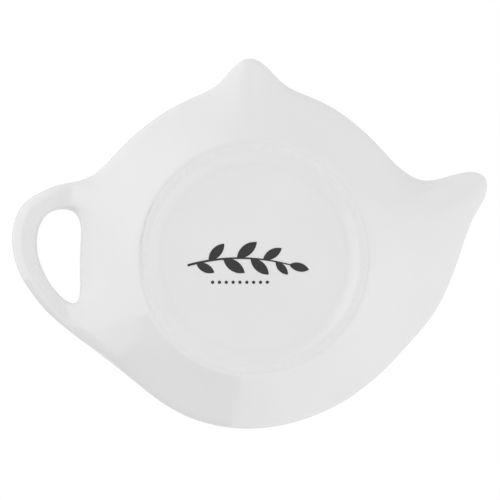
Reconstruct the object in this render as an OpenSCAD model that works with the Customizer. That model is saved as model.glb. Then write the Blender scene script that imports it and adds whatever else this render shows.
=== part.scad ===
// Tea bag rest: a small white porcelain dish with the outline of a teapot.
// Origin on the axis of the foot, on the table. +Z up, +X toward the handle,
// -X toward the spout, +Y toward the lid knob. Millimetres.

/* [Dish] */
// Radius of the round body of the dish
dish_r = 42.9; // [40:0.1:46]
// Height from the table to the top of the rim
rim_h = 14; // [12:0.5:18]
// How far inside the foot's outer edge the flat floor of the dish ends
well_inset = 5; // [4.2:0.1:5.8]
// Thickness of the floor of the dish
floor_t = 3; // [2.4:0.1:4]

/* [Rim] */
// Upright thickness of the wall where it reaches the rim
lip_t = 3.1; // [2.6:0.1:4]
// Width of the rounding along the underside of the rim
lip_w = 1.5; // [1:0.1:1.8]
// Height of the rounding along the underside of the rim
lip_rise = 1.5; // [1:0.1:1.8]
// Width of the rounding along the top of the rim
crest_w = 1.4; // [1:0.1:1.8]
// Upright flat left at the outermost edge of the rim
lip_land = 0.3; // [0.2:0.05:0.5]

/* [Foot] */
// Outer radius of the foot ring where it joins the dish
foot_r = 31; // [30:0.5:31.5]
// Height of the foot ring
foot_h = 1.4; // [1:0.1:1.8]
// Width of the foot ring's sloping outer side
foot_side = 1.8; // [1.4:0.1:2]
// Width of the bare crest that stands on the table
crest_band = 1.5; // [1:0.1:2]
// Width of the soft slope from the crest in to the recess
recess_slope = 4.8; // [3:0.1:5.4]

/* [Handle] */
// Reach of the handle past the round body
handle_reach = 18.4; // [16:0.2:20]
// Width of the handle bar, seen from above
handle_w = 6.5; // [5.5:0.1:7.5]
// Thickness of the handle bar
handle_t = 4.5; // [4:0.1:6]
// Length of the finger hole along the dish
hole_l = 23.5; // [20:0.5:24]
// Rim left between the round body and the finger hole
hole_gap = 0.8; // [0.6:0.1:1.4]
// Width of the rounding along the top edges of the handle
handle_round = 2.4; // [1.6:0.1:2.8]
// Width of the rounding along the outer side of the handle's underside
handle_side = 3.2; // [2:0.1:3.4]
// Width of the rounding round the underside of the finger hole
hole_round = 0.2; // [0.2:0.1:1.2]
// Width of that rounding at the hole's upper corner
corner_round = 2.4; // [1.6:0.1:3]
// Distance from that corner over which the rounding narrows again
corner_run = 4.5; // [3:0.5:6]
// How far past the round body the cone of the dish runs on across the handle's roots
root_reach = 6.6; // [5.6:0.2:7.6]
// Length over which the cone runs out into the bar of the handle
root_run = 9; // [5:0.5:10]

/* [Spout] */
// Reach of the spout past the round body
spout_reach = 18.9; // [16:0.2:21]

/* [Lid knob] */
// Reach of the lid knob past the round body
knob_reach = 7.5; // [6:0.1:9]

/* [Backstamp] */
// Length of the printed sprig, along its stem
sprig_l = 26; // [20:0.5:28]
// How far the stem bows up in the middle
sprig_bow = 1.8; // [0:0.1:3]
// Width of the stem at its thick end
stem_w = 0.6; // [0.4:0.1:0.9]
// Length of the largest printed leaf
leaf_l = 6.4; // [4:0.2:7]
// Width of the largest printed leaf
leaf_w = 2.7; // [1.6:0.1:3]
// Diameter of each printed dot
dot_d = 0.8; // [0.5:0.1:1]
// Spacing of the printed dots
dot_pitch = 1.7; // [1.4:0.1:2]
// How far the row of dots sits below the ends of the stem
dot_drop = 4.2; // [3.6:0.1:5]
// Thickness of the print
print_t = 0.1; // [0.08:0.02:0.16]
// How far the middle of the sprig lies from the foot's axis toward the handle
mark_x = 3.5; // [0:0.5:3.5]
// How far the ends of the stem lie from the foot's axis, away from the lid knob
mark_y = 1.8; // [0:0.2:4]

/* [Hidden] */
porcelain = "white";

// Steps of the outline between two neighbouring knots
sub = 2;
// Steps along the handle
bar_steps = 48;
// Steps on each side over which the feet of the wall's ribs are evened out
ease_steps = 7;

// Height of the wall's underside where the rounding of the rim begins
lip_z = rim_h - lip_t;
// Lower and upper height of the outermost edge
edge_z = lip_z + lip_rise;
edge_top_z = edge_z + lip_land;
// Height of the handle's underside along its middle
bar_z = rim_h - handle_t;
// Top of the dish floor, and the radius at which it ends
floor_z = foot_h + floor_t;
well_r = foot_r - well_inset;
// Outer and inner radius of the bare crest, and radius of the recess inside it. The
// corner between the crest and the outer side is rounded over half that side's width.
crest_r = foot_r - foot_side - foot_side / 2;
crest_in_r = crest_r - crest_band;
recess_r = crest_in_r - recess_slope;
// Share of the slope inside the crest over which it steepens, before it rounds over
steep_share = 0.86;
// Width of the finger hole, across the handle
hole_w = handle_reach - hole_gap - handle_w;

// Outline of the dish as seen from above. Each knot is an angle round the
// foot's axis and a share of the feature's reach past the round body.
knob_shares = [[70, 0.05], [75.4, 0.12], [78.6, 0.25], [82, 0.55], [85, 0.83], [88.2, 1],
    [91.4, 0.92], [94.6, 0.65], [97.6, 0.36], [100.6, 0.17], [105, 0.05]];
spout_shares = [[146, -0.01], [150, 0.045], [152.8, 0.105], [154.8, 0.18], [156, 0.275],
    [156.7, 0.37], [157.1, 0.5], [157.5, 0.66], [158, 0.79], [158.8, 0.9], [160.2, 0.98],
    [161.8, 1], [163.4, 0.975], [165.2, 0.92], [167.4, 0.81], [170, 0.69], [173.4, 0.59],
    [178, 0.495], [184, 0.4], [191, 0.315], [198, 0.23], [205, 0.135], [212, 0.065],
    [220, 0.025]];
lower_root_shares = [[312, 0.02], [320, 0.06], [326, 0.13]];
bar_shares = [[331, 0.213], [336, 0.33], [341, 0.466], [346, 0.62], [351, 0.755],
    [355.5, 0.873], [360, 0.953], [365, 1], [370, 0.975], [374, 0.885], [377.6, 0.7],
    [380.4, 0.535], [383, 0.343], [385.6, 0.204]];
upper_root_shares = [[389, 0.11], [394, 0.058], [402, 0.03]];
// The round body between the features, as shares of its own radius. The rim is
// a little out of round, as a cast dish is after its firing.
upper_right_shares = [[50, 0.005], [56, 0.0035], [63, 0.006]];
upper_left_shares = [[112, 0.0015], [119, -0.004], [126, -0.011], [133, -0.015], [140, -0.013]];
lower_shares = [[228, 0], [236, -0.0045], [244, -0.007], [252, -0.0065], [260, -0.0025],
    [268, 0.003], [276, 0.008], [284, 0.012], [292, 0.0135], [300, 0.01], [306, 0.007]];
// Finger hole, as shares of its width and of its length: along the bar from the
// lower corner to the upper one, then back down along the dish
hole_bar_shares = [[0.07, -0.458], [0.14, -0.483], [0.28, -0.468], [0.46, -0.405],
    [0.68, -0.281], [0.845, -0.139], [0.96, 0.018], [0.99, 0.19], [0.945, 0.32],
    [0.835, 0.425], [0.66, 0.495], [0.46, 0.519], [0.26, 0.513], [0.11, 0.47],
    [0.025, 0.39]];
hole_dish_shares = [[-0.005, 0.29], [0.01, 0.14], [0.02, 0], [0.025, -0.15], [0.02, -0.3],
    [0.03, -0.4]];

// Angles round the foot's axis from which to which the cone of the dish runs on
// across the lower and the upper root of the handle
root_angles = [[-44, -13.5], [14.5, 30]];

// Places of the rows across a flank, across a rim and across the bar
flank_row_shares = [0.13, 0.29, 0.46, 0.64, 0.82, 1];
rim_row_shares = [0.6, 0.32, 0.15, 0.07, 0];
bar_row_shares = [0, 0.03, 0.06, 0.12, 0.2, 0.3, 0.4, 0.51, 0.62, 0.73, 0.84, 0.92, 0.97, 1];

function polar(a, r) = [r * cos(a), r * sin(a)];
function unit(v) = v / norm(v);
function knots(shares, reach) = [for (k = shares) polar(k[0], dish_r + reach * k[1])];

outline_knots = concat(
    knots(concat(lower_root_shares, bar_shares, upper_root_shares), handle_reach),
    knots(upper_right_shares, dish_r),
    knots(knob_shares, knob_reach),
    knots(upper_left_shares, dish_r),
    knots(spout_shares, spout_reach),
    knots(lower_shares, dish_r));
hole_knots = [for (s = concat(hole_bar_shares, hole_dish_shares))
    [dish_r + hole_gap + s[0] * hole_w, s[1] * hole_l]];

// Smooth curve through a closed row of knots, at a place counted in knots
function span(p, q) = sqrt(norm(q - p));
function mid(p, q, a, b, t) = p * ((b - t) / (b - a)) + q * ((t - a) / (b - a));
function curve4(p0, p1, p2, p3, u) =
    let (a = span(p0, p1), b = a + span(p1, p2), c = b + span(p2, p3), t = a + (b - a) * u,
         q0 = mid(p0, p1, 0, a, t), q1 = mid(p1, p2, a, b, t), q2 = mid(p2, p3, b, c, t))
    mid(mid(q0, q1, 0, b, t), mid(q1, q2, a, c, t), a, b, t);
function wrap(i, n) = (i % n + n) % n;
function curve(p, s) =
    let (n = len(p), i = floor(s), u = s - i)
    curve4(p[wrap(i - 1, n)], p[wrap(i, n)], p[wrap(i + 1, n)], p[wrap(i + 2, n)], u);

n_out = len(outline_knots);
n_hole = len(hole_knots);
outline = [for (i = [0 : n_out * sub - 1]) curve(outline_knots, i / sub)];
hole = [for (i = [0 : n_hole * sub - 1]) curve(hole_knots, i / sub)];

// Ends of the bar, lower and upper, on the outline and on the hole
bar_low = len(lower_root_shares);
bar_high = bar_low + len(bar_shares) - 1;
hole_high = len(hole_bar_shares) - 1;
out_low = outline_knots[bar_low];
out_high = outline_knots[bar_high];
in_low = hole_knots[0];
in_high = hole_knots[hole_high];
// Knots of the hole at its upper corner and above its lower one, on the dish side
upper_corner = hole_high - 2;
lower_corner = n_hole - 2;

// Edge of the dish without the handle: the outline, then along the lower root
// of the handle, the dish side of the hole and the upper root
wall_edge = concat(
    [for (i = [bar_high * sub : (n_out + bar_low) * sub]) outline[wrap(i, n_out * sub)]],
    [for (k = [len(bar_row_shares) - 2 : -1 : 0])
        in_low + (out_low - in_low) * bar_row_shares[k]],
    [for (i = [n_hole * sub - 1 : -1 : hole_high * sub]) hole[i]],
    [for (k = [1 : len(bar_row_shares) - 2])
        in_high + (out_high - in_high) * bar_row_shares[k]]);
n_wall = len(wall_edge);

// Places along that edge at which one piece ends and the next begins
function at_knot(k) = (k - bar_high) * sub;
knob_knot = bar_high + 1 + len(upper_root_shares) + len(upper_right_shares);
spout_knot = knob_knot + len(knob_shares) + len(upper_left_shares);
knob_from = at_knot(knob_knot);
knob_to = at_knot(knob_knot + len(knob_shares) - 1);
spout_from = at_knot(spout_knot);
spout_to = at_knot(spout_knot + len(spout_shares) - 2);
belly_to = at_knot(n_out);

// Direction of each rib's foot, evened out so that the ribs fan smoothly
function turn(p) = let (a = atan2(p[1], p[0])) a < 0 ? a + 360 : a;
function near(a, b) = a - b > 180 ? a - 360 : (a - b < -180 ? a + 360 : a);
rib_angles = [for (i = [0 : n_wall - 1])
    let (a = turn(wall_edge[i]))
    sum([for (d = [-ease_steps : ease_steps]) near(turn(wall_edge[wrap(i + d, n_wall)]), a)])
        / (2 * ease_steps + 1)];
function inward(i) =
    let (t = wall_edge[wrap(i + 1, n_wall)] - wall_edge[wrap(i - 1, n_wall)])
    unit([-t[1], t[0]]);

// How far a point lies past the nearer root line of the handle, into the bar
function past(p, from, side) = (p - from) * unit([-side[1], side[0]]);
function beyond(p) =
    p[1] < 0 ? past(p, out_low, out_low - in_low) : past(p, out_high, in_high - out_high);
// Width of the rounding along the underside of the rim, which widens toward the bar
function rim_w(t) = lip_w + (handle_side - lip_w) * ramp(-root_run, 0, t);

// One rib of the wall, from the floor to the rim. It meets the rim squarely, and
// runs straight on from the foot at the roots of the handle.
function rib(j) =
    let (i = wrap(j, n_wall), a = rib_angles[i], foot = polar(a, foot_r), edge = wall_edge[i],
         t = beyond(edge), m = ramp(-2 * root_run, 0, t),
         in = unit(inward(i) * (1 - m) + unit(foot - edge) * m) * rim_w(t), lip = edge + in)
    concat([polar(a, well_r), polar(a, (well_r + foot_r) / 2), foot],
        [for (s = flank_row_shares) foot + (lip - foot) * s],
        [for (s = rim_row_shares) edge + in * s]);

// Edges of the outline, of the finger hole and of both
function ring(p) = [for (i = [0 : len(p) - 1]) [p[i], p[wrap(i + 1, len(p))]]];
function chain(p) = [for (i = [1 : len(p) - 1]) [p[i - 1], p[i]]];
out_edges = ring(outline);
hole_edges = ring(hole);
edges = concat(out_edges, hole_edges);

// Edges that the cone of the dish runs out to: the outline from the upper root of
// the handle round to the lower one, the dish side of the finger hole, and an arc
// across each root
arc_steps = 8;
function arc(a) =
    [for (k = [0 : arc_steps]) polar(a[0] + (a[1] - a[0]) * k / arc_steps, dish_r + root_reach)];
dish_edges = concat(
    chain([for (i = [bar_high * sub : (n_out + 1) * sub]) outline[wrap(i, n_out * sub)]]),
    chain([for (i = [upper_corner * sub : lower_corner * sub]) hole[i]]),
    chain(arc(root_angles[0])),
    chain(arc(root_angles[1])));

// Distance from a point to the nearest of some edges
function to_line(p, a, b) =
    let (d = b - a, t = max(0, min(1, ((p - a) * d) / (d * d)))) norm(p - a - d * t);
function to_edge(p, lines) = min([for (s = lines) to_line(p, s[0], s[1])]);

// The same with every edge felt at once, so that it has no crease halfway
// between two edges: each edge pulls by the inverse cube of its distance
tiny = lip_w / 1000;
function pull(p, a, b) =
    let (d = b - a, l = norm(d), s0 = (a - p) * d / l, s1 = s0 + l,
         h2 = max(tiny * tiny, (a - p) * (a - p) - s0 * s0))
    (s1 / sqrt(h2 + s1 * s1) - s0 / sqrt(h2 + s0 * s0)) / h2;
function sum(v, i = 0) = i >= len(v) ? 0 : v[i] + sum(v, i + 1);
function even_edge(p, lines) = sqrt(2 / sum([for (s = lines) pull(p, s[0], s[1])]));

// Quarter round, 1 at the edge and 0 at a share of 1 or more in from it
function quarter(s) = let (k = 1 - min(s, 1)) 1 - sqrt(max(0, 1 - k * k));
function ramp(a, b, x) = let (k = max(0, min(1, (x - a) / (b - a)))) k * k * (3 - 2 * k);
// A corner between level and rising, rounded over k to each side of it
function soft(x, k) = x <= -k ? 0 : (x >= k ? x : (x + k) * (x + k) / (4 * k));

// The smaller of two, with the corner between them rounded over k
function smaller(a, b, k) = let (d = max(0, k - abs(a - b))) min(a, b) - d * d / (4 * k);

// How far a point has passed from the dish into the handle
function in_bar(p) = ramp(dish_r - 2 * lip_w, dish_r + 3 * lip_w, p[0]);
// Share of the way from the foot or the floor up to the rim
function climb(rise, e) = rise / (rise + max(e, tiny));
// Underside: a straight cone from the foot to the rim, which runs out into the flat
// underside of the handle's bar, and is rounded at the outline and at the hole
function under(p) =
    let (r = norm(p), t = beyond(p),
         e = t > 0 && r > dish_r + root_reach ? 0 : even_edge(p, dish_edges),
         cone = foot_h + (lip_z - foot_h) * climb(max(0, r - foot_r), e),
         base = cone + (smaller(cone, bar_z, lip_w) - cone) * ramp(0, root_run, t),
         corner = norm(p - hole_knots[upper_corner]),
         w = hole_round + (corner_round - hole_round) * ramp(corner_run, 0, corner))
    base + (edge_z - base) * max(quarter(to_edge(p, out_edges) / rim_w(t)),
        quarter(to_edge(p, hole_edges) / w));
// Top: the floor of the dish, a soft corner, a slope in step with the underside
// and a rounded rim, which runs on in a round across the roots of the handle
function over(p) =
    let (r = norm(p), even = even_edge(p, edges), k = (foot_r - well_r) * 0.7,
         round = smaller(even, max(0, dish_r + hole_gap / 2 - r), lip_w),
         e = even + (round - even) * ramp(0.5, 0.8, p[0] / r),
         w = crest_w + (handle_round - crest_w) * in_bar(p))
    floor_z + (rim_h - floor_z) * climb(soft(r - well_r - k, k), e)
        - (rim_h - edge_top_z) * quarter(to_edge(p, edges) / w);

// A closed shell over a grid of plan points: rows of columns, underside and top
module shell(grid) {
    nu = len(grid);
    nv = len(grid[0]);
    n = nu * nv;
    low = [for (c = grid) for (p = c) [p[0], p[1], under(p)]];
    high = [for (c = grid) for (p = c) [p[0], p[1], over(p)]];
    function at(i, j) = i * nv + j;
    polyhedron(points = concat(low, high), faces = concat(
        [for (i = [0 : nu - 2]) for (j = [0 : nv - 2]) each
            [[at(i, j), at(i, j + 1), at(i + 1, j + 1)], [at(i, j), at(i + 1, j + 1), at(i + 1, j)]]],
        [for (i = [0 : nu - 2]) for (j = [0 : nv - 2]) each
            [[n + at(i, j), n + at(i + 1, j + 1), n + at(i, j + 1)],
             [n + at(i, j), n + at(i + 1, j), n + at(i + 1, j + 1)]]],
        [for (i = [0 : nu - 2]) each
            [[at(i, 0), at(i + 1, 0), n + at(i + 1, 0)], [at(i, 0), n + at(i + 1, 0), n + at(i, 0)],
             [at(i, nv - 1), n + at(i + 1, nv - 1), at(i + 1, nv - 1)],
             [at(i, nv - 1), n + at(i, nv - 1), n + at(i + 1, nv - 1)]]],
        [for (j = [0 : nv - 2]) each
            [[at(0, j), n + at(0, j + 1), at(0, j + 1)], [at(0, j), n + at(0, j), n + at(0, j + 1)],
             [at(nu - 1, j), at(nu - 1, j + 1), n + at(nu - 1, j + 1)],
             [at(nu - 1, j), n + at(nu - 1, j + 1), n + at(nu - 1, j)]]]));
}

module wall(from, to) {
    color(porcelain) shell([for (i = [from : to]) rib(i)]);
}

// Flat floor of the dish, inside the wall
module well_floor() {
    color(porcelain) translate([0, 0, foot_h]) linear_extrude(floor_t)
        polygon([for (a = rib_angles) polar(a, well_r)]);
}

// Lower half of the side wall, from the spout round to the handle
module belly() { wall(spout_to, belly_to); }

// Spout and the wall behind it
module spout() { wall(spout_from, spout_to); }

// Side wall between the spout and the lid knob
module spout_shoulder() { wall(knob_to, spout_from); }

// Lid knob and the wall behind it
module knob() { wall(knob_from, knob_to); }

// Side wall behind the handle, with both roots of the handle
module handle_shoulder() { wall(belly_to - n_wall, knob_from); }

// Handle: a rounded bar in a loop, from root to root
module handle() {
    color(porcelain) shell([for (i = [0 : bar_steps])
        let (s = i / bar_steps,
             p = curve(outline_knots, bar_low + (bar_high - bar_low) * s),
             q = curve(hole_knots, hole_high * s))
        [for (k = bar_row_shares) q + (p - q) * k]]);
}

// Foot ring: soft glazed slope inside, narrow bare crest, and an outer side that
// carries the cone of the dish down to the crest
module foot_ring() {
    function drop(s) = s < steep_share ? s * s / steep_share
        : 1 - (1 - s) * (1 - s) / (1 - steep_share);
    slope = [for (k = [0 : 11]) let (s = k / 12)
        [recess_r + recess_slope * s, foot_h * (1 - drop(s))]];
    side = [for (k = [1 : 6]) let (x = (foot_r - crest_r) * k / 6)
        [crest_r + x, foot_h / foot_side * soft(x - foot_side / 2, foot_side / 2)]];
    color("ivory") rotate_extrude($fn = 180)
        polygon(concat(slope, [[crest_in_r, 0], [crest_r, 0]], side));
}

// Printed mark in the recess: a bowed sprig of tea leaves over a row of dots.
// Each leaf is a place along the stem, its turn from the stem and its share of
// the largest leaf.
leaf_shares = [[0.08, 40, 0.8], [0.2, -38, 0.9], [0.34, 38, 1], [0.47, -38, 1],
    [0.6, 38, 0.95], [0.72, -38, 0.85], [0.84, 36, 0.7], [0.97, 0, 0.8]];
dots = 9;
function stem(s) = [sprig_l * (1 / 2 - s), 4 * sprig_bow * s * (1 - s)];
function stem_turn(s) = 180 - atan(4 * sprig_bow * (1 - 2 * s) / sprig_l);
module leaf(share) {
    l = leaf_l * share;
    w = leaf_w * share;
    bow_r = (l * l + w * w) / (4 * w);
    translate([l / 2, 0]) intersection() {
        translate([0, bow_r - w / 2]) circle(bow_r, $fn = 90);
        translate([0, w / 2 - bow_r]) circle(bow_r, $fn = 90);
    }
}
module backstamp() {
    stations = [for (k = [0 : 20]) k / 20];
    color("black") translate([mark_x, -mark_y, foot_h - print_t]) linear_extrude(print_t) {
        polygon(concat([for (s = stations) stem(s) + [0, stem_w * (1 - s / 2) / 2]],
            [for (s = stations) stem(1 - s) - [0, stem_w * (1 + s) / 4]]));
        for (f = leaf_shares)
            translate(stem(f[0])) rotate(stem_turn(f[0]) + f[1]) leaf(f[2]);
        for (i = [0 : dots - 1])
            translate([dot_pitch * (i - (dots - 1) / 2), -dot_drop]) circle(d = dot_d, $fn = 24);
    }
}

well_floor();
belly();
spout();
spout_shoulder();
knob();
handle_shoulder();
handle();
foot_ring();
backstamp();
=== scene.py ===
"""Tea bag rest: a small white porcelain dish with the outline of a teapot, seen from underneath.

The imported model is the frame: its nodes give every size and place. The glazed casting is one
continuous skin, made from a merged copy of the frame's wall, floor and handle solids, with the
foot turned into its underside. The bare crest of the foot and the print are pieces of their own.
Metres, +Z up, +X towards the handle, -X towards the spout, +Y towards the lid knob.
"""

import math

import bmesh
import bpy
from bpy.props import FloatProperty, FloatVectorProperty, PointerProperty
from mathutils import Matrix, Vector, noise


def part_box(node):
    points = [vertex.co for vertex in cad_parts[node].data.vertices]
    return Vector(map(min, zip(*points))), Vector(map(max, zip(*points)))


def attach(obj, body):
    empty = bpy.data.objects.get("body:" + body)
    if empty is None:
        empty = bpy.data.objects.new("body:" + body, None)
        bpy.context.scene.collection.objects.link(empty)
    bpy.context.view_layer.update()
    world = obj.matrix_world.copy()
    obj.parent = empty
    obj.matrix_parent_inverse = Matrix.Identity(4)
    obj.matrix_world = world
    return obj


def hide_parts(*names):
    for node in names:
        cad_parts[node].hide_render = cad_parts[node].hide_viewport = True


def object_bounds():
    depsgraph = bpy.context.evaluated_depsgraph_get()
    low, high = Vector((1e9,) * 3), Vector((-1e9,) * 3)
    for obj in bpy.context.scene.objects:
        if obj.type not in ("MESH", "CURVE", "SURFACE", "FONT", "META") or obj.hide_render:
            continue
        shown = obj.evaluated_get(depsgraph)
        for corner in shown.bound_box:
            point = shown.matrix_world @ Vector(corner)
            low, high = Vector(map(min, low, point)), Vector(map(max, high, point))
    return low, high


bl_info = {
    "name": "Tea Bag Rest",
    "version": (1, 0, 0),
    "blender": (4, 5, 0),
    "location": "View3D > Sidebar > Tea Bag Rest",
    "description": "A white porcelain tea bag rest with the outline of a teapot",
    "category": "Object",
}

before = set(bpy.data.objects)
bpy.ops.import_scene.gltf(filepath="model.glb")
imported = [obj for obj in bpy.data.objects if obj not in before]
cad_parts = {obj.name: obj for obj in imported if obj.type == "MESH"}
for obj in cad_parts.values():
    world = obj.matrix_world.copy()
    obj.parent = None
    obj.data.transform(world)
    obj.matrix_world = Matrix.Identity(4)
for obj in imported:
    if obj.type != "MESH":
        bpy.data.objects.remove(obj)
CAD_LOW, CAD_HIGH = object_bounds()
MM = 0.001
WELD = 0.005 * MM  # points closer than this are one point
LEVEL = 0.02 * MM  # faces whose heights differ by less than this are level

# Noise of the fired clay's grain: scale, detail and roughness
GRAIN = (2600, 3, 0.7)

# The casting's nodes, and what the foot and the floor of the dish measure in the frame
CAST_NODES = ("well_floor", "belly", "spout", "spout_shoulder", "knob", "handle_shoulder", "handle")
FOOT_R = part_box("foot_ring")[1][0]
FOOT_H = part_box("foot_ring")[1][2]
WELL_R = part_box("well_floor")[1][0]
WELL_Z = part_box("well_floor")[1][2]


class GlazeSettings(bpy.types.PropertyGroup):
    colour: FloatVectorProperty(
        name="Glaze colour",
        description="Colour of the white glaze",
        subtype="COLOR",
        min=0,
        max=1,
        default=(0.79, 0.79, 0.79),
    )
    pooled: FloatVectorProperty(
        name="Pooled glaze",
        description="Colour of the glaze where it lies a little thicker",
        subtype="COLOR",
        min=0,
        max=1,
        default=(0.772, 0.772, 0.772),
    )
    roughness: FloatProperty(
        name="Gloss", description="Roughness of the fired glaze", min=0, max=1, default=0.09
    )
    waviness: FloatProperty(
        name="Waviness",
        description="How far the cast surface strays from its ideal shape",
        unit="LENGTH",
        precision=6,
        default=0.03 * MM,
    )


class FootSettings(bpy.types.PropertyGroup):
    crest_outer: FloatProperty(
        name="Crest, outer",
        description="Outer radius of the flat crest",
        unit="LENGTH",
        precision=5,
        default=FOOT_R - 2.7 * MM,
    )
    crest_inner: FloatProperty(
        name="Crest, inner",
        description="Inner radius of the flat crest",
        unit="LENGTH",
        precision=5,
        default=FOOT_R - 4.2 * MM,
    )
    recess: FloatProperty(
        name="Recess",
        description="Radius of the flat recess inside the foot",
        unit="LENGTH",
        precision=5,
        default=FOOT_R - 9.0 * MM,
    )
    side: FloatProperty(
        name="Outer side",
        description="Width of the sloping outer side of the foot",
        unit="LENGTH",
        precision=5,
        default=1.8 * MM,
    )
    steep: FloatProperty(
        name="Steepening",
        description="Share of the inner slope over which it steepens, before it rounds over",
        min=0.1,
        max=0.9,
        default=0.86,
    )
    bare_outer: FloatProperty(
        name="Bare, outer",
        description="Outer radius of the band that is wiped bare of glaze",
        unit="LENGTH",
        precision=5,
        default=FOOT_R - 2.9 * MM,
    )
    bare_inner: FloatProperty(
        name="Bare, inner",
        description="Inner radius of the band that is wiped bare of glaze",
        unit="LENGTH",
        precision=5,
        default=FOOT_R - 4.3 * MM,
    )
    colour: FloatVectorProperty(
        name="Bare clay",
        description="Colour of the unglazed porcelain",
        subtype="COLOR",
        min=0,
        max=1,
        default=(0.79, 0.79, 0.79),
    )
    stain: FloatVectorProperty(
        name="Stain",
        description="Colour of the scuffed line along part of the glaze edge",
        subtype="COLOR",
        min=0,
        max=1,
        default=(0.71, 0.645, 0.655),
    )
    stain_end: FloatVectorProperty(
        name="Stain, other end",
        description="Colour that the scuffed line drifts to",
        subtype="COLOR",
        min=0,
        max=1,
        default=(0.69, 0.68, 0.64),
    )


class PrintSettings(bpy.types.PropertyGroup):
    ink: FloatVectorProperty(
        name="Print colour",
        description="Colour of the fired print",
        subtype="COLOR",
        min=0,
        max=1,
        default=(0.008, 0.008, 0.008),
    )


class StageSettings(bpy.types.PropertyGroup):
    distance: FloatProperty(
        name="Camera distance",
        description="Distance from the camera to the rim of the dish",
        unit="LENGTH",
        default=0.75,
    )
    view_width: FloatProperty(
        name="View width",
        description="Width of the view at the rim of the dish",
        unit="LENGTH",
        precision=5,
        default=126.1 * MM,
    )
    aim_x: FloatProperty(
        name="Aim, sideways",
        description="Middle of the view, towards the handle from the foot's axis",
        unit="LENGTH",
        precision=5,
        default=1.01 * MM,
    )
    aim_y: FloatProperty(
        name="Aim, up",
        description="Middle of the view, towards the lid knob from the foot's axis",
        unit="LENGTH",
        precision=5,
        default=2.02 * MM,
    )
    world: FloatProperty(
        name="World level", description="Brightness of the room's light", min=0, max=2, default=0.7
    )
    lamp_distance: FloatProperty(
        name="Lamp distance",
        description="Distance from the dish to the studio's lamps",
        unit="LENGTH",
        default=2.5,
    )


def settings(name):
    """One of the scene's groups of settings."""
    return getattr(bpy.context.scene, "tea_rest_" + name)


# Shapes


def foot_height(r):
    """Height of the foot's surface over the table at a radius: inner slope, flat crest, outer side."""
    foot = settings("foot")
    if r <= foot.recess:
        return FOOT_H
    if r < foot.crest_inner:
        s = (r - foot.recess) / (foot.crest_inner - foot.recess)
        drop = s * s / foot.steep if s < foot.steep else 1 - (1 - s) ** 2 / (1 - foot.steep)
        return FOOT_H * (1 - drop)
    if r <= foot.crest_outer:
        return 0.0
    x = (r - foot.crest_outer) / foot.side
    return FOOT_H * min(x * x / 2 if x < 1 else x - 0.5, 1)


def cast_mesh():
    """The casting's nodes as one closed bmesh of quads, with the faces between the nodes taken out."""
    bm = bmesh.new()
    node_of = bm.faces.layers.int.new("node")
    pair_of = bm.faces.layers.int.new("pair")
    for number, name in enumerate(CAST_NODES):
        first = len(bm.faces)
        bm.from_mesh(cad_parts[name].data)
        bm.faces.ensure_lookup_table()
        node_of = bm.faces.layers.int["node"]
        pair_of = bm.faces.layers.int["pair"]
        for k, face in enumerate(bm.faces[first:]):
            face[node_of] = number
            face[pair_of] = k // 2
    bmesh.ops.remove_doubles(bm, verts=bm.verts, dist=WELD)

    def shared(vert):
        return len({f[node_of] for f in vert.link_faces}) > 1

    inner = [f for f in bm.faces if abs(f.normal.z) < 0.02 and all(shared(v) for v in f.verts)]
    bmesh.ops.delete(bm, geom=inner, context="FACES")
    bm.normal_update()
    diagonals = []
    for edge in bm.edges:
        if len(edge.link_faces) == 2:
            a, b = edge.link_faces
            if a[node_of] == b[node_of] != 0 and a[pair_of] == b[pair_of]:
                diagonals.append(edge)
    bmesh.ops.dissolve_edges(bm, edges=diagonals, use_verts=False, use_face_split=False)
    return bm


def open_circle(bm, radius, z):
    """Takes out the flat faces inside a circle at a height, and returns the edges of the hole."""
    flat = []
    for face in bm.faces:
        c = face.calc_center_median()
        if abs(c.z - z) < LEVEL and abs(face.normal.z) > 0.999 and c.xy.length < radius:
            flat.append(face)
    bmesh.ops.delete(bm, geom=flat, context="FACES")
    return [e for e in bm.edges if len(e.link_faces) == 1]


def turn_inwards(bm, loop, profile):
    """Extrudes a round loop of edges through a list of (radius, height) rings and closes it."""
    ring = list({v for e in loop for v in e.verts})
    radius, height = max(v.co.xy.length for v in ring), ring[0].co.z
    for r, z in profile:
        made = bmesh.ops.extrude_edge_only(bm, edges=loop)["geom"]
        loop = [g for g in made if isinstance(g, bmesh.types.BMEdge)]
        ring = list({v for e in loop for v in e.verts})
        bmesh.ops.scale(bm, vec=(r / radius, r / radius, 1), verts=ring)
        bmesh.ops.translate(bm, vec=(0, 0, z - height), verts=ring)
        radius, height = r, z
    bmesh.ops.pointmerge(bm, verts=ring, merge_co=Vector((0, 0, height)))


def foot_rings():
    """Rings of the glazed underside from the foot's outer side, over its crest, to the recess's middle.

    Along the crest the glaze stays a hair above the table, and the bare band lies proud of it.
    """
    foot = settings("foot")
    lift = 0.015 * MM
    side_shares = (0.82, 0.64, 0.47, 0.32, 0.18, 0.08)
    slope_shares = (1, 0.96, 0.91, 0.85, 0.78, 0.71, 0.62, 0.52, 0.42, 0.32, 0.22, 0.12, 0.03)
    radii = [foot.bare_outer + (FOOT_R - foot.bare_outer) * s for s in side_shares]
    radii += [foot.bare_outer, (foot.bare_outer + foot.bare_inner) / 2]
    radii += [foot.recess + (foot.bare_inner - foot.recess) * s for s in slope_shares]
    rings = [(r, max(foot_height(r), lift)) for r in radii]
    return rings + [(foot.recess * s, FOOT_H) for s in (0.96, 0.8, 0.55, 0.3, 0.1)]


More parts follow.
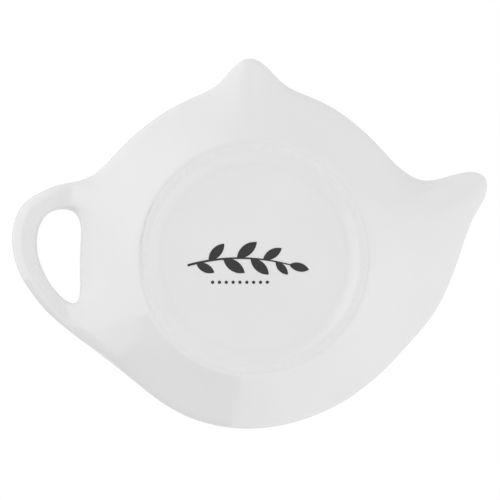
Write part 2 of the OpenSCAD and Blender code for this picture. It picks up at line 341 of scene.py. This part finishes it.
def wave(bm):
    """Lets the surface stray a little from its ideal shape, as slip casting leaves it."""
    size = settings("glaze").waviness
    waves_per_metre, shift, calm_width = 70, Vector((3.1, 7.7, 1.3)), 6 * MM
    bm.normal_update()
    for vert in bm.verts:
        away = (vert.co.xy.length - FOOT_R) / calm_width
        calm = min(max(away, 0), 1) if vert.co.z < WELL_Z else 1
        stray = noise.noise(vert.co * waves_per_metre + shift)
        vert.co += vert.normal * (size * stray * calm)


def piece(name, bm, material, *nodes, slot_name):
    """Makes a bmesh a smooth piece on the root body, and hides the named nodes it is built for."""
    mesh = bpy.data.meshes.new(name)
    bm.to_mesh(mesh)
    bm.free()
    mesh.polygons.foreach_set("use_smooth", [True] * len(mesh.polygons))
    mesh.materials.append(material)
    obj = bpy.data.objects.new(name, mesh)
    bpy.context.scene.collection.objects.link(obj)
    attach(obj, "root")
    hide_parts(*nodes)
    return obj


def subdivide(obj, levels):
    """Adds a subdivision surface with the same level everywhere."""
    modifier = obj.modifiers.new("Smooth", "SUBSURF")
    modifier.levels = levels
    modifier.render_levels = levels


# Materials


def maths(tree, operation, *values):
    """Adds a Math node, fed with numbers and sockets, and gives its result."""
    node = tree.nodes.new("ShaderNodeMath")
    node.operation = operation
    for socket, value in zip(node.inputs, values):
        if isinstance(value, bpy.types.NodeSocket):
            tree.links.new(value, socket)
        else:
            socket.default_value = value
    return node.outputs[0]


def fit(tree, value, low, high, to_low=0.0, to_high=1.0, kind="LINEAR"):
    """Adds a Map Range node that leads a value from one range to another, and gives its result."""
    node = tree.nodes.new("ShaderNodeMapRange")
    node.interpolation_type = kind
    tree.links.new(value, node.inputs["Value"])
    for name, number in zip(("From Min", "From Max", "To Min", "To Max"), (low, high, to_low, to_high)):
        node.inputs[name].default_value = number
    return node.outputs["Result"]


class Nodes:
    """Short words for building a material's nodes."""

    def __init__(self, name):
        self.material = bpy.data.materials.new(name)
        self.material.use_nodes = True
        self.tree = self.material.node_tree
        self.shader = self.tree.nodes["Principled BSDF"]
        self.output = self.tree.nodes["Material Output"]
        self.place = self.add("ShaderNodeTexCoord").outputs["Object"]

    def add(self, kind, **values):
        node = self.tree.nodes.new(kind)
        for name, value in values.items():
            setattr(node, name, value)
        return node

    def link(self, a, b):
        self.tree.links.new(a, b)

    def noise(self, scale, detail=2.0, roughness=0.5):
        node = self.add("ShaderNodeTexNoise")
        self.link(self.place, node.inputs["Vector"])
        node.inputs["Scale"].default_value = scale
        node.inputs["Detail"].default_value = detail
        node.inputs["Roughness"].default_value = roughness
        return node.outputs["Fac"]

    def maths(self, operation, *values):
        return maths(self.tree, operation, *values)

    def fit(self, value, low, high, to_low=0.0, to_high=1.0):
        return fit(self.tree, value, low, high, to_low, to_high)

    def mix(self, factor, a, b):
        node = self.add("ShaderNodeMix", data_type="RGBA")
        self.link(factor, node.inputs["Factor"])
        for name, value in (("A", a), ("B", b)):
            socket = [s for s in node.inputs if s.name == name and s.type == "RGBA"][0]
            if isinstance(value, bpy.types.NodeSocket):
                self.link(value, socket)
            else:
                socket.default_value = (*value, 1)
        return [s for s in node.outputs if s.type == "RGBA"][0]

    def bump(self, height, distance, below=None):
        node = self.add("ShaderNodeBump")
        node.inputs["Distance"].default_value = distance
        self.link(height, node.inputs["Height"])
        if below is not None:
            self.link(below, node.inputs["Normal"])
        return node.outputs["Normal"]

    def polar(self):
        """Radius and direction round the foot's axis, in metres and in radians, and height."""
        split = self.add("ShaderNodeSeparateXYZ")
        self.link(self.place, split.inputs[0])
        x, y, z = split.outputs
        squares = self.maths("MULTIPLY", x, x), self.maths("MULTIPLY", y, y)
        radius = self.maths("SQRT", self.maths("ADD", *squares))
        return radius, self.maths("ARCTAN2", y, x), z


def underside(n, height):
    """One on the foot and nothing on the inside of the dish."""
    return n.fit(height, FOOT_H, WELL_Z, 1, 0)


def stain_line(n):
    """Where the scuffed line along the glaze's edge lies: on the handle's side, broken and uneven."""
    radius, turn, height = n.polar()
    lean = n.maths("MULTIPLY", turn, 0.9 * MM)
    wander = n.fit(n.noise(330, 3, 0.6), 0.25, 0.75, -0.3 * MM, 0.3 * MM)
    middle = n.maths("ADD", n.maths("ADD", lean, wander), settings("foot").bare_outer - 0.05 * MM)
    away = n.maths("ABSOLUTE", n.maths("SUBTRACT", radius, middle))
    line = n.fit(away, 0.1 * MM, 0.3 * MM, 1, 0)
    start = n.fit(turn, math.radians(-12), math.radians(-10))
    end = n.fit(turn, math.radians(28), math.radians(30), 1, 0)
    broken = n.maths("MULTIPLY", n.fit(n.noise(520, 2, 0.5), 0.36, 0.56, 0.3, 1), underside(n, height))
    return n.maths("MULTIPLY", n.maths("MULTIPLY", line, broken), n.maths("MULTIPLY", start, end))


def stain_colour(n):
    """The scuffed line's colour, from pinkish to khaki grey."""
    foot = settings("foot")
    return n.mix(n.fit(n.noise(190, 1), 0.45, 0.55), foot.stain, foot.stain_end)


def grit(n):
    """Fine grit of the fired clay, as dark specks."""
    return n.fit(n.noise(*GRAIN), 0.53, 0.75)


def thin_glaze(n):
    """Where the glaze is thin enough for the grit to show: on the foot's outer side."""
    foot = settings("foot")
    radius, _, height = n.polar()
    start = n.fit(radius, foot.bare_outer - 0.6 * MM, foot.bare_outer - 0.3 * MM)
    end = n.fit(radius, foot.bare_outer + 1.2 * MM, foot.bare_outer + 2.4 * MM, 1, 0)
    return n.maths("MULTIPLY", n.maths("MULTIPLY", start, end), underside(n, height))


def glaze_material():
    """White glaze: clear gloss, faint pooling, a soft ripple and a few pinholes."""
    glaze = settings("glaze")
    n = Nodes("white_glaze")
    pooled = n.fit(n.noise(45, 3), 0.35, 0.7)
    colour = n.mix(pooled, glaze.colour, glaze.pooled)
    specks = n.maths("MULTIPLY", grit(n), thin_glaze(n))
    colour = n.mix(specks, colour, [c * 0.93 for c in glaze.colour])
    n.link(n.mix(stain_line(n), colour, stain_colour(n)), n.shader.inputs["Base Color"])
    gloss = n.fit(n.noise(160, 2), 0.3, 0.7, glaze.roughness * 0.8, glaze.roughness * 1.3)
    n.link(gloss, n.shader.inputs["Roughness"])
    n.shader.inputs["IOR"].default_value = 1.5
    ripple = n.bump(n.noise(95, 1), 0.012 * MM)
    peel = n.bump(n.noise(900, 2), 0.0012 * MM, ripple)
    pits = n.add("ShaderNodeTexVoronoi", feature="F1")
    n.link(n.place, pits.inputs["Vector"])
    pits.inputs["Scale"].default_value = 130
    pinholes = n.fit(pits.outputs["Distance"], 0.02, 0.045)
    n.link(n.bump(pinholes, 0.02 * MM, peel), n.shader.inputs["Normal"])
    return n.material


def bare_material():
    """Unglazed crest: matt, finely sanded clay, with a scuffed line along part of its outer edge."""
    foot = settings("foot")
    n = Nodes("bare_porcelain")
    blotch = n.noise(700, 3, 0.6)
    shade = n.mix(n.fit(blotch, 0.35, 0.7), foot.colour, [c * 0.965 for c in foot.colour])
    speckled = n.mix(grit(n), shade, [c * 0.92 for c in foot.colour])
    n.link(n.mix(stain_line(n), speckled, stain_colour(n)), n.shader.inputs["Base Color"])
    n.shader.inputs["Roughness"].default_value = 0.72
    rough = n.bump(n.noise(*GRAIN), 0.02 * MM)
    n.link(n.bump(blotch, 0.03 * MM, rough), n.shader.inputs["Normal"])
    return n.material


def print_material():
    """Black print, fired on: a little less even than the glaze and as glossy."""
    n = Nodes("black_print")
    ink = settings("print").ink
    worn = n.fit(n.noise(2600, 2, 0.6), 0.5, 0.8, 0, 0.6)
    n.link(n.mix(worn, ink, [c + 0.02 for c in ink]), n.shader.inputs["Base Color"])
    n.shader.inputs["Roughness"].default_value = 0.28
    n.link(n.bump(n.noise(1800, 2), 0.004 * MM), n.shader.inputs["Normal"])
    return n.material


def floor_material():
    """Pale floor that keeps the dish's shadow from above, and is clear from underneath."""
    n = Nodes("pale_floor")
    n.shader.inputs["Base Color"].default_value = (0.9, 0.9, 0.9, 1)
    n.shader.inputs["Roughness"].default_value = 0.9
    geometry = n.add("ShaderNodeNewGeometry")
    clear = n.add("ShaderNodeBsdfTransparent")
    lit = n.add("ShaderNodeAddShader")
    glow = n.add("ShaderNodeEmission")
    glow.inputs["Strength"].default_value = 0.2
    camera = n.add("ShaderNodeLightPath").outputs["Is Camera Ray"]
    seen = n.add("ShaderNodeMixShader")
    n.link(n.shader.outputs[0], lit.inputs[0])
    n.link(glow.outputs[0], lit.inputs[1])
    n.link(camera, seen.inputs[0])
    n.link(n.shader.outputs[0], seen.inputs[1])
    n.link(lit.outputs[0], seen.inputs[2])
    side = n.add("ShaderNodeMixShader")
    n.link(geometry.outputs["Backfacing"], side.inputs[0])
    n.link(seen.outputs[0], side.inputs[1])
    n.link(clear.outputs[0], side.inputs[2])
    n.link(side.outputs[0], n.output.inputs["Surface"])
    return n.material


# Operators, one for each piece and one for the stage


class TEAREST_OT_glazed_body(bpy.types.Operator):
    """Make the glazed casting as one skin: dish, spout, lid knob, handle and the foot's glazed sides"""

    bl_idname = "tea_rest.glazed_body"
    bl_label = "Glazed body"

    def execute(self, context):
        bm = cast_mesh()
        loop = open_circle(bm, WELL_R, WELL_Z)
        turn_inwards(bm, loop, [(WELL_R * s, WELL_Z) for s in (0.93, 0.8, 0.6, 0.35, 0.12)])
        loop = open_circle(bm, FOOT_R, FOOT_H)
        turn_inwards(bm, loop, foot_rings())
        bmesh.ops.recalc_face_normals(bm, faces=bm.faces)
        wave(bm)
        open_edges = [e for e in bm.edges if len(e.link_faces) != 2]
        if open_edges:
            raise RuntimeError(f"the glazed body has {len(open_edges)} open edges")
        body = piece("glazed_body", bm, glaze_material(), *CAST_NODES, slot_name="glaze")
        subdivide(body, 1)
        return {"FINISHED"}


class TEAREST_OT_bare_foot(bpy.types.Operator):
    """Turn the bare crest of the foot ring, which comes out from under the glaze on both sides"""

    bl_idname = "tea_rest.bare_foot"
    bl_label = "Bare foot"

    def execute(self, context):
        foot = settings("foot")
        width, top = foot.bare_outer - foot.bare_inner, 0.8 * FOOT_H
        tail, dip = 0.6 * width, 0.12 * MM
        profile = [(foot.bare_outer + tail, top)]
        for share in (1.5, 1.35, 1.2, 1.1, 1, 0.85, 0.7, 0.5, 0.3, 0.15, 0, -0.1, -0.2, -0.35, -0.5):
            r = foot.bare_inner + width * share
            under_glaze = max(share - 1, -share, 0)
            profile.append((r, foot_height(r) + dip * under_glaze))
        profile.append((foot.bare_inner - tail, top))
        bm = bmesh.new()
        verts = [bm.verts.new((r, 0, z)) for r, z in profile]
        edges = [bm.edges.new((verts[k], verts[(k + 1) % len(verts)])) for k in range(len(verts))]
        bmesh.ops.spin(
            bm,
            geom=verts + edges,
            cent=(0, 0, 0),
            axis=(0, 0, 1),
            angle=math.tau,
            steps=240,
            use_merge=True,
            use_duplicate=False,
        )
        bmesh.ops.remove_doubles(bm, verts=bm.verts, dist=WELD)
        bmesh.ops.recalc_face_normals(bm, faces=bm.faces)
        piece("bare_foot", bm, bare_material(), "foot_ring", slot_name="bare_foot")
        return {"FINISHED"}


class TEAREST_OT_backstamp(bpy.types.Operator):
    """Finish the printed sprig in the recess"""

    bl_idname = "tea_rest.backstamp"
    bl_label = "Backstamp"

    def execute(self, context):
        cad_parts["backstamp"].material_slots[0].material = print_material()
        return {"FINISHED"}


def lamp(name, place, facing, size, level):
    """A soft rectangular lamp, unseen by the camera; its level is that of a white wall lit to 1."""
    data = bpy.data.lights.new(name, "AREA")
    data.shape = "RECTANGLE"
    data.size, data.size_y = size
    data.energy = math.pi * size[0] * size[1] * level
    obj = bpy.data.objects.new(name, data)
    obj.location = place
    obj.rotation_euler = Vector(facing).to_track_quat("-Z", "Y").to_euler()
    obj.visible_camera = False
    bpy.context.scene.collection.objects.link(obj)
    return obj


def soft_light(name, azimuth, elevation, share):
    """Light from a direction that gives a face turned to it a share of the light of a white room."""
    distance, side = settings("stage").lamp_distance, 1.0
    a, e = math.radians(azimuth), math.radians(elevation)
    place = Vector((math.cos(a) * math.cos(e), math.sin(a) * math.cos(e), math.sin(e))) * distance
    level = share * math.pi * distance**2 / side**2
    obj = lamp(name, place, -place, (side, side), level)
    obj.visible_glossy = False


def mirrored_wall(name, start, end, level, end_share=1.0, foot_rise=0.0, foot=2.6, top=0.8):
    """An upright wall of soft boxes, from one azimuth to the next, that shows only in the glaze.

    It fades out towards its foot, which may rise on the way to its end, and fades to a share of
    its level towards its end. Its foot, the rise and its top are measured in lamp distances.
    """
    distance = settings("stage").lamp_distance
    middle, half = math.radians((start + end) / 2), math.radians(abs(end - start) / 2)
    above, full, below = top * distance, 0.42 * foot * distance, foot * distance
    outward = Vector((math.cos(middle), math.sin(middle), 0))
    place = outward * distance + Vector((0, 0, (above - below) / 2))
    obj = lamp(name, place, -outward, (2 * distance * math.tan(half), above + below), level)
    obj.visible_diffuse = False
    obj.data.use_nodes = True
    tree = obj.data.node_tree
    geometry = tree.nodes.new("ShaderNodeNewGeometry")
    split = tree.nodes.new("ShaderNodeSeparateXYZ")
    tree.links.new(geometry.outputs["Parametric"], split.inputs[0])
    across, upwards = split.outputs[0], split.outputs[1]
    far, near = (0, 1) if end < start else (1, 0)
    rise = foot_rise * distance / (above + below)
    lean = maths(tree, "MULTIPLY_ADD", across, (near - far) * rise, -near * rise)
    height = maths(tree, "ADD", lean, upwards)
    towards_end = fit(tree, across, far, near, end_share, kind="SMOOTHSTEP")
    towards_foot = fit(tree, height, 0, (below - full) / (above + below), kind="SMOOTHSTEP")
    strength = maths(tree, "MULTIPLY", towards_end, towards_foot)
    tree.links.new(strength, tree.nodes["Emission"].inputs["Strength"])


class TEAREST_OT_stage(bpy.types.Operator):
    """Set the camera, the floor and the light"""

    bl_idname = "tea_rest.stage"
    bl_label = "Stage"

    def execute(self, context):
        stage = settings("stage")
        scene = context.scene
        widest_below_top = 1.6 * MM
        rim_z = CAD_HIGH.z - widest_below_top

        camera_data = bpy.data.cameras.new("camera")
        camera_data.sensor_width = 36
        camera_data.lens = camera_data.sensor_width * stage.distance / stage.view_width
        camera_data.clip_start = 0.01
        camera = bpy.data.objects.new("camera", camera_data)
        camera.matrix_world = Matrix.Translation((stage.aim_x, stage.aim_y, rim_z - stage.distance)) @ (
            Matrix.Rotation(math.pi, 4, "Y")
        )
        scene.collection.objects.link(camera)
        scene.camera = camera

        bm = bmesh.new()
        bmesh.ops.create_grid(bm, x_segments=1, y_segments=1, size=3)
        mesh = bpy.data.meshes.new("floor")
        bm.to_mesh(mesh)
        bm.free()
        mesh.materials.append(floor_material())
        floor = bpy.data.objects.new("floor", mesh)
        scene.collection.objects.link(floor)
        floor.visible_diffuse = False
        floor.visible_glossy = False
        floor.visible_transmission = False
        floor.visible_shadow = False

        soft_light("soft_left", 30, -5, 0.16)
        soft_light("soft_right", -160, -5, 0.13)
        soft_light("soft_front", 0, -90, 0.24)
        soft_light("soft_above", -60, 60, 0.3)
        mirrored_wall("left_wall", -28, 38, 1.1)
        mirrored_wall("left_wall_end", 38, 92, 1.1, end_share=0.45, foot_rise=0.5, foot=1.6)
        mirrored_wall("back_wall", 92, 155, 0.55)
        mirrored_wall("low_wall", -28, -84, 0.55, top=-0.5)
        mirrored_wall("right_wall", -84, -165, 0.75)
        mirrored_wall("right_wall_end", -165, -205, 0.75, end_share=0.75)

        world = bpy.data.worlds.new("studio")
        scene.world = world
        world.use_nodes = True
        tree = world.node_tree
        path = tree.nodes.new("ShaderNodeLightPath").outputs
        seen = maths(tree, "MAXIMUM", path["Is Camera Ray"], path["Is Glossy Ray"])
        clear = maths(tree, "MAXIMUM", seen, path["Is Transmission Ray"])
        background = tree.nodes["Background"].inputs
        background["Color"].default_value = (1, 1, 1, 1)
        tree.links.new(fit(tree, clear, 0, 1, stage.world, 1), background["Strength"])

        scene.view_settings.view_transform = "Standard"
        return {"FINISHED"}


OPERATORS = (TEAREST_OT_glazed_body, TEAREST_OT_bare_foot, TEAREST_OT_backstamp, TEAREST_OT_stage)
GROUPS = {
    "glaze": GlazeSettings,
    "foot": FootSettings,
    "print": PrintSettings,
    "stage": StageSettings,
}


class TEAREST_PT_panel(bpy.types.Panel):
    bl_idname = "TEAREST_PT_panel"
    bl_label = "Tea Bag Rest"
    bl_space_type = "VIEW_3D"
    bl_region_type = "UI"
    bl_category = "Tea Bag Rest"

    def draw(self, context):
        for name, group in GROUPS.items():
            box = self.layout.box()
            for key in group.__annotations__:
                box.prop(getattr(context.scene, "tea_rest_" + name), key)
        for operator in OPERATORS:
            self.layout.operator(operator.bl_idname)


def register():
    for name, group in GROUPS.items():
        bpy.utils.register_class(group)
        setattr(bpy.types.Scene, "tea_rest_" + name, PointerProperty(type=group))
    for item in (*OPERATORS, TEAREST_PT_panel):
        bpy.utils.register_class(item)


def unregister():
    for item in (TEAREST_PT_panel, *reversed(OPERATORS)):
        bpy.utils.unregister_class(item)
    for name, group in GROUPS.items():
        delattr(bpy.types.Scene, "tea_rest_" + name)
        bpy.utils.unregister_class(group)


def main():
    register()
    bpy.ops.tea_rest.glazed_body()
    bpy.ops.tea_rest.bare_foot()
    bpy.ops.tea_rest.backstamp()
    bpy.ops.tea_rest.stage()


if __name__ == "__main__":
    main()
